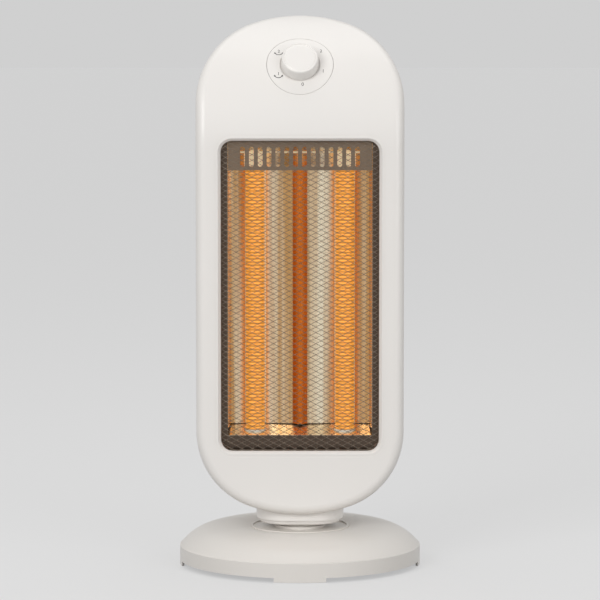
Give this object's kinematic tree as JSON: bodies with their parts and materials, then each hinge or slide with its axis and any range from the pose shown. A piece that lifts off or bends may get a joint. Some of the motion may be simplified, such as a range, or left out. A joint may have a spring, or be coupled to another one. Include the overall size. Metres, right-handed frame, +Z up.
{
  "type": "carbon tower heater",
  "caption": "Free-standing tower heater with a swinging pill-shaped head, glowing carbon tubes behind a wire guard, a top dial and a round domed base.",
  "frame": {"origin": "floor under the middle of the round base, on the axis that the head swings about", "axes": "+Z up, the heating window faces -Y, +X to the right of a viewer in front"},
  "size_m": [0.254, 0.254, 0.5772],
  "materials": {
    "white_plastic": "satin moulded plastic",
    "base_plastic": "satin moulded plastic",
    "knob_plastic": "smooth moulded plastic",
    "dark_plastic": "moulded plastic",
    "rubber": "soft feet",
    "steel": "zinc-plated steel",
    "guard_wire": "bright wire",
    "bright_sheet": "polished reflector sheet",
    "quartz": "clear quartz",
    "carbon": "glowing carbon",
    "ceramic": "white ceramic"
  },
  "bodies": {
    "base": {"base_cover": "base_plastic", "base_skirt": "base_plastic", "base_plate": "dark_plastic", "base_feet": "rubber", "base_screws": "steel", "cord_bushing": "dark_plastic", "pivot_bush": "base_plastic", "thrust_washer": "dark_plastic", "swing_motor": "steel", "tip_switch": "dark_plastic"},
    "head": {"front_frame": "white_plastic", "dial_plate": "white_plastic", "dial_retainer": "steel", "rotary_switch": "dark_plastic", "rear_cover": "white_plastic", "shell_screws": "steel", "safety_guard": "guard_wire", "reflector_frame": "bright_sheet", "frame_screws": "steel", "reflector": "bright_sheet", "vent_plate": "bright_sheet", "floor_plate": "bright_sheet", "left_quartz_tube": "quartz", "right_quartz_tube": "quartz", "left_carbon_coil": "carbon", "right_carbon_coil": "carbon", "lower_tube_caps": "ceramic", "upper_tube_caps": "ceramic", "lower_tube_holder": "steel", "upper_tube_holder": "steel", "heat_shield": "steel", "thermal_cutout": "steel", "terminal_block": "ceramic", "neck": "white_plastic", "pivot_tube": "steel", "pivot_flange": "steel", "drive_arm": "steel"},
    "knob": {"control_knob": "knob_plastic", "switch_shaft": "steel"},
    "crank": {"crank": "steel"},
    "plunger": {"tip_plunger": "dark_plastic"}
  },
  "joints": [
    {"name": "head_swing", "type": "hinge", "parent": "base", "child": "head", "pos_m": [0, 0, 0.045], "axis": [0, 0, 1], "range_deg": [-35, 35]},
    {"name": "knob_turn", "type": "hinge", "parent": "head", "child": "knob", "pos_m": [0, -0.02204, 0.5286], "axis": [0, -0.8072, 0.5903], "range_deg": [-128, 128]},
    {"name": "crank_turn", "type": "hinge", "parent": "base", "child": "crank", "pos_m": [0, 0.062, 0.0243], "axis": [0, 0, 1], "continuous": true},
    {"name": "plunger_slide", "type": "slide", "parent": "base", "child": "plunger", "axis": [0, 0, 1], "range_m": [-0.004, 0], "stiffness_N_per_m": 100, "springref_m": -0.008}
  ]
}
